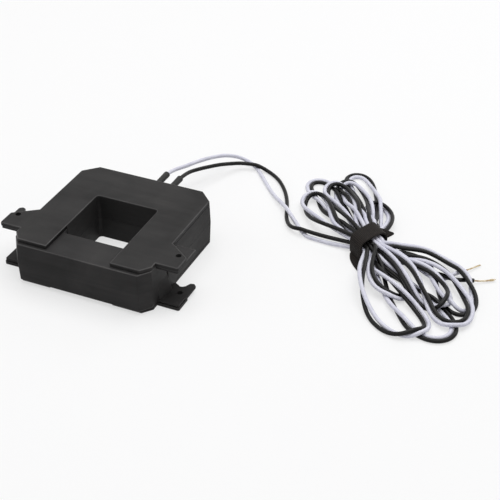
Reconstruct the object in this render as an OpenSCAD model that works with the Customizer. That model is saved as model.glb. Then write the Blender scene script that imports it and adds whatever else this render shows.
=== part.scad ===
// Split-core current transformer with a removable leg, potted-style case halves,
// a cut strip-wound core and a pair of insulated leads tied in a hank.
// Millimetres. Origin: centre of the case on the surface it stands on.
// +X runs along the removable leg, +Y points to the lead side, +Z is up.

/* [Case] */
// Width of the case without its ears
body_w = 82.6; // [78:0.2:90]
// Depth from the front of the leg to the back of the case
body_d = 86.2; // [84:0.2:92]
// Height of the case
body_h = 28; // [26:0.5:32]
// Width of the conductor window
window_w = 38.6; // [34:0.2:40]
// Depth of the conductor window
window_d = 38.1; // [34:0.1:40]
// Depth of the bar between the window and the back
back_bar = 28.1; // [27:0.1:30]
// Wall thickness of the moulded halves
wall = 2; // [1.6:0.1:2.2]
// Thickness of the outer plates that hold the leg between them
plate_t = 2.1; // [1.8:0.1:2.4]
// How much each half widens from its outer face to the parting line
draft = 0.45; // [0.2:0.05:0.6]

/* [Ears and leg] */
// How far an ear's tip stands out from the side of the case
ear_reach = 12.9; // [11:0.1:15]
// Diameter of the tie hole through the ears
tie_hole_d = 3.2; // [2.6:0.1:3.4]
// How far the leg stands in front of the plates
leg_lip = 2.1; // [1:0.1:3]
// Clearance between the leg and the plates
leg_gap = 0.2; // [0.15:0.05:0.3]
// Thickness of the leg's tabs and fingers
tab_t = 1.5; // [1.2:0.1:1.8]

/* [Core and winding] */
// Radial build of the strip-wound core
core_build = 15; // [13:0.5:15]
// Width of the core strip
core_h = 18.6; // [15:0.1:18.6]
// Build of the winding over the core
winding_t = 1.6; // [1:0.1:1.6]
// Length of the winding along the back bar
winding_l = 38; // [24:1:39]

/* [Leads] */
// Outside diameter of one lead's insulation
lead_d = 2.4; // [2:0.1:2.4]
// Distance between the two lead exits
lead_pitch = 9.4; // [8:0.2:14]
// Length of the shrink sleeve outside the case
sleeve_l = 27.9; // [20:0.1:28]
// Length of bare conductor on each free end
strip_l = 12.7; // [6:0.1:13]

/* [Hidden] */
$fn = 48;
eps = 0.01;

// Case stations: x is symmetrical, y runs from the leg's front to the back
half_w = body_w / 2;
front_y = -body_d / 2;
back_y = body_d / 2;
mid_z = body_h / 2;
window_back_y = back_y - back_bar;
window_front_y = window_back_y - window_d;
window_r = 2;
split_y = window_front_y + 4.1;
plate_y = front_y + leg_lip;
back_chamfer = 8;
leg_chamfer = [5, 6.8];
plate_chamfer = [4.5, 5.5];
corner_r = 1;
seam_scale = 1 + draft / half_w;
groove = [0.3, 0.35];

// Ear stations on the right-hand side
ear_x = half_w + ear_reach;
ear_front_y = plate_y + 9.7;
ear_tip_y = plate_y + 20.5;
ear_root_y = plate_y + 29.9;
tie_hole = [half_w + 8.1, plate_y + 20.6];

// Locating pins: in the case and in the leg
case_pin = [33, 37];
leg_pin = [34, front_y + 5.6];

// The leg's tab and finger beside the case
tab_x = ear_x - 0.4;
tab_back_y = plate_y + 32.6;
tab_clear_x = half_w + 1.2;
finger_x = ear_x + 0.6;
finger_w = 5.4;
finger_end_y = plate_y + 31;

// Leg heights and its split faces
leg_top_z = body_h - plate_t - leg_gap;
leg_split_y = split_y - 0.2;
leg_skin = 1.8;

// Core: one rounded rectangular ring, cut at the split plane
core_in_x = window_w / 2 + wall + 0.3;
core_out_x = core_in_x + core_build;
core_in_y0 = window_front_y - leg_skin - 0.2;
core_in_y1 = window_back_y + wall + 3;
core_out_y0 = core_in_y0 - core_build;
core_out_y1 = core_in_y1 + core_build;
core_in_r = 1;
core_z = mid_z - core_h / 2;
tape_t = 0.3;
bar_y = (core_in_y1 + core_out_y1) / 2;
core_top_z = mid_z + core_h / 2;
rib_t = 1.2;

// Board behind the winding
board = [30, 1, 14];
board_y = core_out_y1 + 2 * tape_t + winding_t + 0.6;
board_face_y = board_y + board[1];

// Leads and sleeves
sleeve_d = lead_d + 1.4;
sleeve_hole_d = sleeve_d + 0.1;
white_sleeve_more = 1.2;
conductor_d = 0.9;

// Hank: centre of the tie, direction of its long axis, and its waist inside the tie
tie_at = [129, 62];
hank_turn = -42;
waist = [18.4, 10.2];
strap_t = 1.4;
strap_w = 12.8;
strap_slant = -0.385;
strap_shift = -2.7;
lobe_h = 7.5;

// Outlines of the two lobes in the hank's own frame, from the tie outwards
right_lobe = [[20, -13.2], [30, -18], [42, -23], [56, -28], [70, -27.5], [82, -21], [89, -9],
    [90, 3], [86, 13], [77, 22], [66, 29], [52, 33], [38, 33], [24, 28], [11, 20]];
left_lobe = [[-22, 16], [-34, 25], [-46, 31], [-60, 34], [-72, 40], [-83, 41], [-88, 34],
    [-84, 24], [-90, 14], [-91, 3], [-84, -5], [-70, -11], [-56, -17], [-40, -21], [-22, -18]];

// Hand-laid routes of the two leads from the case to the hank
white_route = [[-4.7, 43.1, 14], [-4.7, 57, 14], [-4.7, 72.4, 14], [-3.1, 79, 13.7], [0.5, 87, 13],
    [4.5, 98.5, 11.5], [9.5, 110, 9.5], [14, 118.5, 7], [20.5, 123.5, 4.5], [27, 124, 2.5],
    [32.5, 121.5, 1.3], [39.5, 114, 1.3], [45, 107.5, 1.3], [50.5, 101, 1.3], [57, 94, 1.8],
    [65.5, 85.5, 3.3], [70.5, 80.5, 3.9], [75.5, 75.5, 3], [80.5, 71, 1.6], [85, 66.5, 1.3],
    [89.5, 62.5, 1.3], [95.5, 60.5, 1.3], [102, 59.6, 1.5], [108, 59.7, 1.8], [113.5, 60.5, 2.4]];
black_route = [[4.7, 43.1, 14], [4.7, 57, 14], [4.7, 71, 14], [5, 77, 13.4], [5.7, 82.5, 12.6],
    [8.7, 90, 11.4], [12, 97.5, 9.8], [15.5, 105, 8], [19, 111.5, 6], [23.5, 117, 4.5],
    [28.5, 119.5, 3.9], [33.5, 120, 3.9], [38, 120.5, 2.4], [42.5, 119.5, 1.3], [48, 116, 1.3],
    [53.5, 111, 1.3], [60, 102.5, 1.3], [65, 93.5, 1.3], [68.5, 85, 1.3], [71.5, 77, 1.3],
    [75, 70.5, 1.6], [79.5, 65.5, 2.8], [84.5, 63.5, 4.1], [89.5, 63.5, 4.4], [95.5, 63.2, 4.2],
    [102, 62.6, 4.1], [109, 62.8, 4.5]];
white_tail = [[176, 50, 5], [178.5, 55, 4.2], [181, 60, 3.2], [183.5, 64.5, 2.2]];
black_tail = [[180.5, 49.5, 5], [184, 52.5, 4], [187.5, 55.5, 3], [190.5, 57.5, 2.2]];

// ---- shared shapes -------------------------------------------------------

// Rounds the outer corners of a flat outline
module soften(r) {
    offset(r = r) offset(delta = -r) children();
}

// Rectangle between two corners with true round corners
module round_rect(low, high, r) {
    translate([low[0] + r, low[1]]) square([high[0] - low[0] - 2 * r, high[1] - low[1]]);
    translate([low[0], low[1] + r]) square([high[0] - low[0], high[1] - low[1] - 2 * r]);
    for (x = [low[0] + r, high[0] - r], y = [low[1] + r, high[1] - r])
        translate([x, y]) circle(r);
}

// Turns an upper half over the case's Y axis, so that it becomes the lower half
module flipped() {
    translate([0, 0, body_h]) rotate([0, 180, 0]) children();
}

// Places something in the hank's own frame: x along the hank, y across it
module in_hank() {
    translate([tie_at[0], tie_at[1], 0]) rotate([0, 0, hank_turn]) children();
}

// Ring of a swept tube: its points in the plane square to the direction dir
function unit(v) = v / norm(v);
function ring(at, dir, r, n) =
    let (side = unit(cross(dir, [0, 0, 1])), up = cross(side, dir))
    [for (k = [0 : n - 1]) at + r * (cos(360 * k / n) * side + sin(360 * k / n) * up)];
function route_dir(route, i) =
    unit(route[min(i + 1, len(route) - 1)] - route[max(i - 1, 0)]);

// Tube swept along a route, with one ring at each of its points
module tube(route, d, n = 8) {
    last = len(route) - 1;
    points = [for (i = [0 : last]) each ring(route[i], route_dir(route, i), d / 2, n)];
    sides = [for (i = [0 : last - 1], k = [0 : n - 1])
        [i * n + k, (i + 1) * n + k, (i + 1) * n + (k + 1) % n, i * n + (k + 1) % n]];
    ends = [[for (k = [0 : n - 1]) k], [for (k = [0 : n - 1]) last * n + n - 1 - k]];
    polyhedron(points, concat(sides, ends), convexity = 6);
}

// Straight round rod from one point towards another, square-ended
module rod(from, to, d) {
    dir = to - from;
    translate(from)
        rotate([0, acos(dir[2] / norm(dir)), atan2(dir[1], dir[0])])
            cylinder(d = d, h = norm(dir));
}

// ---- case outlines -------------------------------------------------------

// The case's block behind the split plane, chamfered at the back, without its window
module block_outline() {
    soften(corner_r) polygon([[-half_w, split_y - 6], [half_w, split_y - 6],
        [half_w, back_y - back_chamfer], [half_w - back_chamfer, back_y],
        [-half_w + back_chamfer, back_y], [-half_w, back_y - back_chamfer]]);
}

module window_outline(extra = 0) {
    round_rect([-window_w / 2 - extra, plate_y - 10],
        [window_w / 2 + extra, window_back_y + extra], window_r + extra);
}

// One ear, as a flat outline on the right-hand side
module ear_outline() {
    soften(1.1) polygon([[half_w - 6, ear_front_y], [ear_x, ear_front_y], [ear_x, ear_tip_y],
        [half_w, ear_root_y], [half_w - 6, ear_root_y]]);
}

// The plate: the block's outline with its arms carried forward over the leg, and two ears
module plate_outline() {
    difference() {
        union() {
            block_outline();
            soften(corner_r) polygon([
                [-half_w + plate_chamfer[0], plate_y], [half_w - plate_chamfer[0], plate_y],
                [half_w, plate_y + plate_chamfer[1]], [half_w, split_y + 10],
                [-half_w, split_y + 10], [-half_w, plate_y + plate_chamfer[1]]]);
            for (side = [0, 1]) mirror([side, 0]) ear_outline();
        }
        window_outline();
    }
}

// The hollow inside a case half, one wall in from every face of the block
module case_cavity() {
    difference() {
        offset(delta = -wall) intersection() {
            block_outline();
            translate([-body_w, split_y]) square([2 * body_w, body_d]);
        }
        window_outline(wall);
    }
}

// Outline of the leg: a bar with two short poles that face the case's arms
module leg_outline() {
    difference() {
        soften(corner_r) polygon([
            [-half_w + leg_chamfer[0], front_y], [half_w - leg_chamfer[0], front_y],
            [half_w, front_y + leg_chamfer[1]], [half_w, leg_split_y],
            [-half_w, leg_split_y], [-half_w, front_y + leg_chamfer[1]]]);
        translate([-window_w / 2, window_front_y]) square([window_w, window_d]);
    }
}

// Opening in a split face through which a core pole shows
module pole_openings(y0, depth) {
    for (side = [0, 1]) mirror([side, 0, 0])
        translate([core_in_x - 0.15, y0, mid_z - core_h / 2 - 0.15])
            cube([core_build + 0.3, depth, core_h + 0.3]);
}

// Locating pin on the left and socket on the right, so that equal halves fit each other
module locating_bosses(at, roof_z, r) {
    for (side = [-1, 1])
        translate([side * at[0], at[1], mid_z]) cylinder(r = r, h = roof_z - mid_z);
    translate([-at[0], at[1], mid_z - 2.4]) cylinder(d = 2, h = 2.4 + eps);
}

module locating_socket(at) {
    translate([at[0], at[1], mid_z - eps]) cylinder(d = 2.2, h = 2.8);
}

// ---- moulded parts -------------------------------------------------------

// The drafted walls of one half, from the parting line up to the plate
module drafted_walls() {
    difference() {
        translate([0, 0, mid_z])
            linear_extrude(height = mid_z, scale = 1 / seam_scale)
                scale(seam_scale) block_outline();
        translate([-body_w, split_y - body_d, mid_z - 1])
            cube([2 * body_w, body_d, body_h]);
        translate([0, window_back_y - window_d / 2, mid_z - eps])
            linear_extrude(height = mid_z + 2 * eps, scale = 1 + 2 * draft / window_w)
                scale(1 - 2 * draft / window_w)
                    translate([0, window_d / 2 - window_back_y]) window_outline();
    }
}

// Ribs under the plate on which the core's arms and back corners bear
module core_ribs() {
    rise = body_h - plate_t - core_top_z + eps;
    for (side = [0, 1]) mirror([side, 0, 0]) {
        for (y = [-12, 8])
            translate([core_in_x + 1, y, core_top_z]) cube([core_build - 2, rib_t, rise]);
        translate([winding_l / 2 + 4, core_in_y1 + 1, core_top_z])
            cube([rib_t, core_build - 3, rise]);
    }
}

// Ribs on the back wall that hold the board up to the winding
module board_ribs() {
    for (side = [0, 1]) mirror([side, 0, 0])
        translate([board[0] / 2 - 2, board_face_y, mid_z])
            cube([rib_t, back_y - wall - board_face_y + eps, mid_z - plate_t + eps]);
}

// Shallow groove that sets the plate off from the drafted walls below it
module plate_groove() {
    translate([0, 0, body_h - plate_t - groove[1]]) linear_extrude(groove[1])
        difference() {
            translate([-body_w, split_y + 11]) square([2 * body_w, body_d]);
            offset(delta = -groove[0]) block_outline();
        }
}

// Upper half of the case; the lower half is the same moulding turned over
module housing_half() {
    difference() {
        union() {
            difference() {
                union() {
                    drafted_walls();
                    translate([0, 0, body_h - plate_t]) linear_extrude(plate_t) plate_outline();
                    side_pads();
                }
                translate([0, 0, mid_z - 1])
                    linear_extrude(mid_z + 1 - plate_t) case_cavity();
            }
            locating_bosses(case_pin, body_h - plate_t + eps, 2.4);
            core_ribs();
            board_ribs();
        }
        plate_groove();
        locating_socket(case_pin);
        pole_openings(split_y - 1, wall + 2);
        for (side = [-1, 1]) {
            translate([side * tie_hole[0], tie_hole[1], body_h - plate_t - 1])
                cylinder(d = tie_hole_d, h = plate_t + 2);
            translate([side * lead_pitch / 2, back_y - wall - 2, mid_z])
                rotate([-90, 0, 0]) cylinder(d = sleeve_hole_d, h = wall + 4);
        }
    }
}

// Flat pads that stiffen the arm ends beside the split
module side_pads() {
    pad = [0.9, 9, body_h / 2 - plate_t];
    for (side = [0, 1]) mirror([side, 0, 0])
        translate([half_w - 0.4, split_y + 0.6, mid_z]) cube(pad + [0, 0, 1]);
}

module housing_top() {
    color([0.23, 0.23, 0.24]) housing_half();
}

module housing_bottom() {
    color([0.21, 0.21, 0.22]) flipped() housing_half();
}

// Rectangular tab on the right of a leg half, and the finger on its left
module leg_tab() {
    soften(0.8) {
        polygon([[half_w - 3, ear_front_y + 0.4], [tab_x, ear_front_y + 0.4],
            [tab_x, tab_back_y], [tab_clear_x, tab_back_y], [tab_clear_x, leg_split_y],
            [half_w - 3, leg_split_y]]);
    }
}

module leg_finger() {
    notch_r = 2.1;
    root_y = ear_tip_y + 5.4;
    inner_x = finger_x - finger_w;
    difference() {
        soften(0.9) polygon([[half_w - 3, ear_front_y + 0.4], [tab_x, ear_front_y + 0.4],
            [tab_x, ear_tip_y - 3], [finger_x, ear_tip_y - 1], [finger_x, finger_end_y - 1.6],
            [finger_x - 1.8, finger_end_y], [inner_x + 1.6, finger_end_y - 0.6],
            [inner_x, root_y + 1], [inner_x - 2 * notch_r, root_y + 1],
            [tab_clear_x, root_y + 2.5], [tab_clear_x, leg_split_y],
            [half_w - 3, leg_split_y]]);
        translate([inner_x - notch_r, root_y + notch_r]) circle(notch_r);
    }
}

// Curved web that carries the finger from the leg's end face
module finger_web() {
    hull() {
        translate([half_w - 1, leg_split_y - 0.8, mid_z + 0.4]) cube([1.3, 0.4, 1]);
        translate([half_w - 1, leg_split_y - 0.8, leg_top_z - tab_t]) cube([4.2, 0.4, 0.4]);
        translate([half_w - 1, ear_front_y + 1, mid_z + 5]) cube([1.3, 0.4, 1]);
        translate([half_w - 1, ear_front_y + 1, leg_top_z - tab_t]) cube([2.6, 0.4, 0.4]);
    }
}

module leg_half() {
    leg_rise = leg_top_z - mid_z;
    difference() {
        union() {
            difference() {
                union() {
                    difference() {
                        translate([0, 0, mid_z]) linear_extrude(leg_rise, scale = 1 / seam_scale)
                            scale(seam_scale) leg_outline();
                        translate([-body_w, leg_split_y, 0])
                            cube([2 * body_w, body_d, body_h]);
                    }
                    translate([0, 0, leg_top_z - tab_t]) linear_extrude(tab_t) {
                        leg_tab();
                        mirror([1, 0]) leg_finger();
                    }
                    mirror([1, 0, 0]) finger_web();
                }
                translate([0, 0, mid_z - 1]) linear_extrude(leg_rise + 1 - leg_skin)
                    offset(delta = -leg_skin) leg_outline();
            }
            locating_bosses(leg_pin, leg_top_z - leg_skin + eps, 1.9);
            for (side = [0, 1]) mirror([side, 0, 0])
                translate([window_w / 2 - 4, core_out_y0 + 1, core_top_z])
                    cube([rib_t, core_build - 2, leg_top_z - leg_skin - core_top_z + eps]);
        }
        locating_socket(leg_pin);
        pole_openings(leg_split_y - leg_skin - 1, leg_skin + 2);
        for (side = [-1, 1])
            translate([side * tie_hole[0], tie_hole[1], leg_top_z - tab_t - 1])
                cylinder(d = tie_hole_d, h = tab_t + 2);
    }
}

module leg_top() {
    color([0.22, 0.22, 0.23]) leg_half();
}

module leg_bottom() {
    color([0.20, 0.20, 0.21]) flipped() leg_half();
}

// ---- core and winding ----------------------------------------------------

// The whole core ring before it is cut at the split plane
module core_ring() {
    translate([0, 0, core_z]) linear_extrude(core_h) difference() {
        round_rect([-core_out_x, core_out_y0], [core_out_x, core_out_y1],
            core_build + core_in_r);
        round_rect([-core_in_x, core_in_y0], [core_in_x, core_in_y1], core_in_r);
    }
}

module core_long() {
    color([0.55, 0.56, 0.58]) intersection() {
        core_ring();
        translate([-body_w, split_y, 0]) cube([2 * body_w, body_d, body_h]);
    }
}

module core_short() {
    color([0.55, 0.56, 0.58]) intersection() {
        core_ring();
        translate([-body_w, leg_split_y - body_d, 0]) cube([2 * body_w, body_d, body_h]);
    }
}

// Rectangular sleeve round the back bar, t thick, starting out from the core by gap
module bar_sleeve(length, gap, t) {
    inner = [core_build / 2 + gap, core_h / 2 + gap];
    outer = inner + [t, t];
    translate([-length / 2, bar_y, mid_z]) rotate([90, 0, 90]) linear_extrude(length)
        difference() {
            round_rect(-outer, outer, t);
            square(2 * inner, center = true);
        }
}

module core_insulation() {
    color([0.85, 0.72, 0.35]) bar_sleeve(winding_l + 2, 0, tape_t);
}

module winding() {
    color([0.72, 0.42, 0.20]) bar_sleeve(winding_l, tape_t, winding_t);
}

module winding_wrap() {
    color([0.80, 0.66, 0.25]) bar_sleeve(winding_l, tape_t + winding_t, tape_t);
}

// Ends of the winding, carried from the wrap to the board
module coil_ends() {
    color([0.72, 0.42, 0.20]) for (side = [-1, 1])
        translate([side * 11, core_out_y1 + 2 * tape_t + winding_t, mid_z - 3])
            rotate([-90, 0, 0]) cylinder(d = 0.6, h = 0.6);
}

module terminal_board() {
    color([0.20, 0.42, 0.26]) difference() {
        translate([-board[0] / 2, board_y, mid_z - board[2] / 2]) cube(board);
        for (side = [-1, 1])
            translate([side * 13, board_y - 1, mid_z + 5]) rotate([-90, 0, 0])
                cylinder(d = 1.6, h = board[1] + 2);
    }
}

module burden_resistor() {
    color([0.15, 0.15, 0.16])
        translate([-3.2, board_face_y, mid_z - 6]) cube([6.4, 0.7, 3.2]);
}

module clamp_diode() {
    color([0.10, 0.10, 0.11])
        translate([-2.2, board_face_y, mid_z + 2.6]) cube([4.4, 1.6, 3.6]);
}

// Foam strip that presses the short core against the long one
module core_pad() {
    pad = [52, core_out_y0 - front_y - leg_skin - 0.2, core_h - 3];
    color([0.30, 0.30, 0.32])
        translate([-pad[0] / 2, core_out_y0 - pad[1], mid_z - pad[2] / 2]) cube(pad);
}

// ---- leads, sleeves and hank ---------------------------------------------

// The part of a lead inside the case, from the board to the back face
module lead_root(side) {
    translate([side * lead_pitch / 2, board_face_y, mid_z])
        rotate([-90, 0, 0]) cylinder(d = lead_d, h = back_y - board_face_y);
}

module lead_root_white() {
    color([0.86, 0.86, 0.93]) lead_root(-1);
}

module lead_root_black() {
    color([0.10, 0.10, 0.10]) lead_root(1);
}

// Shrink sleeve over a lead, held in the notches of both case halves
module sleeve(side, length) {
    translate([side * lead_pitch / 2, back_y - wall + 0.2, mid_z]) rotate([-90, 0, 0])
        difference() {
            cylinder(d = sleeve_d, h = length + wall - 0.2);
            translate([0, 0, -1]) cylinder(d = lead_d + 0.1, h = length + wall + 2);
        }
}

module sleeve_white() {
    color([0.11, 0.11, 0.11]) sleeve(-1, sleeve_l + white_sleeve_more);
}

module sleeve_black() {
    color([0.11, 0.11, 0.11]) sleeve(1, sleeve_l);
}

module lead_white() {
    color([0.86, 0.86, 0.93]) tube(white_route, lead_d);
}

module lead_black() {
    color([0.10, 0.10, 0.10]) tube(black_route, lead_d);
}

// Leans a shape along the hank as the strap lies, by its place across the hank
module slanted() {
    multmatrix([[1, strap_slant, 0, strap_shift], [0, 1, 0, 0], [0, 0, 1, 0]]) children();
}

// Where the strap's edge crosses a place v across the hank, on one side of the strap
function strap_edge(side, v) = [side * strap_w / 2 + strap_shift + strap_slant * v, v];

// One lobe of the hank: its flat outline, and the rise of the runs up to the tie
module lobe(side, outline, rise_end) {
    near = strap_edge(side, -waist[0] / 2);
    far = strap_edge(side, waist[0] / 2);
    linear_extrude(lobe_h) polygon(concat(side > 0 ? [far, near] : [near, far], outline));
    hull() {
        translate([0, 0, strap_t]) linear_extrude(waist[1])
            polygon([near, far, far + [side * eps, 0], near + [side * eps, 0]]);
        translate([rise_end[0], rise_end[1] - 9, 0]) cube([1, 18, lobe_h]);
    }
}

// Outer shape of the folded pair of leads
module lead_hank() {
    color([0.45, 0.45, 0.48]) in_hank() {
        lobe(1, right_lobe, [42, 6]);
        lobe(-1, left_lobe, [-42, 4]);
        slanted() translate([-strap_w / 2 - eps, -waist[0] / 2, strap_t])
            cube([strap_w + 2 * eps, waist[0], waist[1]]);
    }
}

// Hook-and-loop strap round the waist: its band, its pointed end and the end's far corner
module tie_strap() {
    band = [waist[0] / 2 + strap_t, waist[1] + 2 * strap_t];
    color([0.13, 0.11, 0.10]) in_hank() {
        slanted() rotate([90, 0, 90]) translate([0, 0, -strap_w / 2]) linear_extrude(strap_w)
            difference() {
                round_rect([-band[0], 0], [band[0], band[1]], strap_t);
                translate([-waist[0] / 2, strap_t]) square(waist);
            }
        linear_extrude(strap_t) soften(0.5) polygon([[-4, -band[0] + 1.2],
            [7.5, -band[0] + 1.2], [20, -band[0] - 4], [4, -band[0] - 4.5]]);
        hull() {
            translate([-9.5, band[0] - 0.4, 6.4]) cube([6, 0.4, strap_t]);
            translate([-6.8, band[0] + 8, 4.6]) cube([0.6, 0.4, strap_t]);
        }
    }
}

module tail_white() {
    color([0.86, 0.86, 0.93]) tube(white_tail, lead_d);
}

module tail_black() {
    color([0.10, 0.10, 0.10]) tube(black_tail, lead_d);
}

// Bare stranded conductor beyond the end of a tail
module conductor(tail) {
    last = len(tail) - 1;
    flat = unit([tail[last][0] - tail[last - 1][0], tail[last][1] - tail[last - 1][1], 0]);
    rod(tail[last], tail[last] + strip_l * unit(flat + [0, 0, -0.1]), conductor_d);
}

module conductor_white() {
    color([0.72, 0.66, 0.50]) conductor(white_tail);
}

module conductor_black() {
    color([0.72, 0.66, 0.50]) conductor(black_tail);
}

housing_top();
housing_bottom();
leg_top();
leg_bottom();
core_long();
core_short();
core_insulation();
winding();
winding_wrap();
coil_ends();
terminal_board();
burden_resistor();
clamp_diode();
core_pad();
lead_root_white();
lead_root_black();
sleeve_white();
sleeve_black();
lead_white();
lead_black();
lead_hank();
tie_strap();
tail_white();
tail_black();
conductor_white();
conductor_black();
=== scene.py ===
import bpy
import bmesh
import math
import numpy as np
from mathutils import Matrix, Vector


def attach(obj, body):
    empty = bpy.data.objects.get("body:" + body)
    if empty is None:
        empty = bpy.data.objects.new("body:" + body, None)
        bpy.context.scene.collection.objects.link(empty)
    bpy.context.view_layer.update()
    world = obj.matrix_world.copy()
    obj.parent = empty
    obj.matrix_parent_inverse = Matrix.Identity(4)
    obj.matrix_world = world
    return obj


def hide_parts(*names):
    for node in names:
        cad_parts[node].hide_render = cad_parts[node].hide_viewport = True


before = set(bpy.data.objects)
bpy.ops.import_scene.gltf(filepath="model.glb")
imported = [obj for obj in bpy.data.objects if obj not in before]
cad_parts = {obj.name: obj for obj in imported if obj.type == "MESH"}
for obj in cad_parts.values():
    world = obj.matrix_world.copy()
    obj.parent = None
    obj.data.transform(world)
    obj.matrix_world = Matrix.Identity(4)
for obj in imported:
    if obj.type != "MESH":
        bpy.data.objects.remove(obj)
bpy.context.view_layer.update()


# camera, floor and lights

camera = {"place": (0.30008, -0.50432, 0.40417), "aim": (0.0653, 0.0374, 0.0), "roll": 0.0074, "lens": 90.34,
          "sensor": 36, "near": 0.01}
floor = {"size": 6.0, "colour": (0.88, 0.88, 0.885, 1), "roughness": 0.9, "glow": 0.6}
lamps = [
    {"name": "overhead", "place": (0.1, 0.25, 1.5), "aim": (0.06, 0.03, 0), "size": 1.6, "watts": 21},
    {"name": "left", "place": (-1.3, -0.6, 0.9), "aim": (0.05, 0.0, 0), "size": 1.2, "watts": 4},
    {"name": "right", "place": (1.4, -0.5, 0.8), "aim": (0.05, 0.0, 0), "size": 1.2, "watts": 1.5},
    {"name": "behind", "place": (0.5, 1.3, 0.7), "aim": (0.05, 0.0, 0), "size": 0.7, "watts": 2.5},
]
world = {"strength": 0.25, "seen": 1.0}


def lookFrom(place, aim):
    return (Vector(aim) - Vector(place)).to_track_quat("-Z", "Y")


def addCamera():
    cam = bpy.data.objects.new("camera", bpy.data.cameras.new("camera"))
    bpy.context.scene.collection.objects.link(cam)
    cam.data.lens = camera["lens"]
    cam.data.sensor_width = camera["sensor"]
    cam.data.clip_start = camera["near"]
    cam.location = camera["place"]
    turn = lookFrom(camera["place"], camera["aim"]).to_matrix() @ Matrix.Rotation(camera["roll"], 3, "Z")
    cam.rotation_euler = turn.to_euler()
    bpy.context.scene.camera = cam


def addLamps():
    for lamp in lamps:
        light = bpy.data.lights.new(lamp["name"], "AREA")
        light.shape = "SQUARE"
        light.size = lamp["size"]
        light.energy = lamp["watts"]
        holder = bpy.data.objects.new(lamp["name"], light)
        bpy.context.scene.collection.objects.link(holder)
        holder.location = lamp["place"]
        holder.rotation_euler = lookFrom(lamp["place"], lamp["aim"]).to_euler()


# 1 for the rays which come straight from the camera or off a glossy surface, otherwise 0
def directRays(tree):
    path, most = tree.nodes.new("ShaderNodeLightPath"), tree.nodes.new("ShaderNodeMath")
    most.operation = "MAXIMUM"
    tree.links.new(path.outputs["Is Camera Ray"], most.inputs[0])
    tree.links.new(path.outputs["Is Glossy Ray"], most.inputs[1])
    return most.outputs[0]


# white surroundings, dim as a light and bright where they are seen
def addWorld():
    sky = bpy.data.worlds.new("studio")
    bpy.context.scene.world = sky
    sky.use_nodes = True
    nodes, links = sky.node_tree.nodes, sky.node_tree.links
    nodes.clear()
    out, mix = nodes.new("ShaderNodeOutputWorld"), nodes.new("ShaderNodeMixShader")
    links.new(directRays(sky.node_tree), mix.inputs[0])
    for socket, strength in zip(mix.inputs[1:], (world["strength"], world["seen"])):
        light = nodes.new("ShaderNodeBackground")
        light.inputs["Color"].default_value = (1, 1, 1, 1)
        light.inputs["Strength"].default_value = strength
        links.new(light.outputs[0], socket)
    links.new(mix.outputs[0], out.inputs[0])


# pale floor, which glows a little where it is seen
def addFloor():
    bpy.ops.object.select_all(action="DESELECT")
    bpy.ops.mesh.primitive_plane_add(size=floor["size"], location=(0, 0, 0))
    ground = bpy.context.object
    ground.name = "floor"
    paper = bpy.data.materials.new("paper")
    paper.use_nodes = True
    nodes, links = paper.node_tree.nodes, paper.node_tree.links
    shader = nodes["Principled BSDF"]
    shader.inputs["Base Color"].default_value = floor["colour"]
    shader.inputs["Roughness"].default_value = floor["roughness"]
    share, glow, mix = [nodes.new("ShaderNode" + kind) for kind in ("Math", "Emission", "MixShader")]
    share.operation = "MULTIPLY"
    share.inputs[1].default_value = floor["glow"]
    links.new(directRays(paper.node_tree), share.inputs[0])
    links.new(share.outputs[0], mix.inputs[0])
    links.new(shader.outputs[0], mix.inputs[1])
    links.new(glow.outputs[0], mix.inputs[2])
    links.new(mix.outputs[0], nodes["Material Output"].inputs[0])
    ground.data.materials.append(paper)


bpy.context.scene.view_settings.view_transform = "Standard"
addCamera()
addLamps()
addWorld()
addFloor()
print("camera, lamps and floor are in place")


# building blocks of the finishes: each makes one node or one small group of them


def shaderOf(made):
    return made.node_tree.nodes["Principled BSDF"]


def newFinish(name, colour, roughness, gloss=0.5, metal=0.0):
    made = bpy.data.materials.new(name)
    made.use_nodes = True
    shader = shaderOf(made)
    shader.inputs["Base Color"].default_value = (*colour, 1)
    shader.inputs["Roughness"].default_value = roughness
    shader.inputs["Specular IOR Level"].default_value = gloss
    shader.inputs["Metallic"].default_value = metal
    return made


def spots(made, place):
    nodes = made.node_tree.nodes
    found = nodes.get("Texture Coordinate") or nodes.new("ShaderNodeTexCoord")
    return found.outputs[place]


def mapped(made, place, size, turn=(0, 0, 0)):
    node = made.node_tree.nodes.new("ShaderNodeMapping")
    node.inputs["Scale"].default_value = size
    node.inputs["Rotation"].default_value = turn
    made.node_tree.links.new(place, node.inputs["Vector"])
    return node.outputs["Vector"]


def cloud(made, place, scale, detail=3.0, twist=0.0):
    node = made.node_tree.nodes.new("ShaderNodeTexNoise")
    node.inputs["Scale"].default_value = scale
    node.inputs["Detail"].default_value = detail
    node.inputs["Distortion"].default_value = twist
    made.node_tree.links.new(place, node.inputs["Vector"])
    return node.outputs["Fac"]


def bands(made, place, scale, way="X", twist=0.0):
    node = made.node_tree.nodes.new("ShaderNodeTexWave")
    node.bands_direction = way
    node.inputs["Scale"].default_value = scale
    node.inputs["Distortion"].default_value = twist
    made.node_tree.links.new(place, node.inputs["Vector"])
    return node.outputs["Fac"]


def sums(made, kind, a, b):
    node = made.node_tree.nodes.new("ShaderNodeMath")
    node.operation = kind
    for socket, value in zip(node.inputs, (a, b)):
        if isinstance(value, float):
            socket.default_value = value
        else:
            made.node_tree.links.new(value, socket)
    return node.outputs[0]


def blend(made, a, b, share):
    return sums(made, "ADD", sums(made, "MULTIPLY", a, share), sums(made, "MULTIPLY", b, 1 - share))


def ramp(made, source, stops):
    node = made.node_tree.nodes.new("ShaderNodeValToRGB")
    while len(node.color_ramp.elements) < len(stops):
        node.color_ramp.elements.new(0.5)
    for element, (at, colour) in zip(node.color_ramp.elements, stops):
        element.position = at
        element.color = (*colour, 1)
    made.node_tree.links.new(source, node.inputs["Fac"])
    return node.outputs["Color"]


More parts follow.
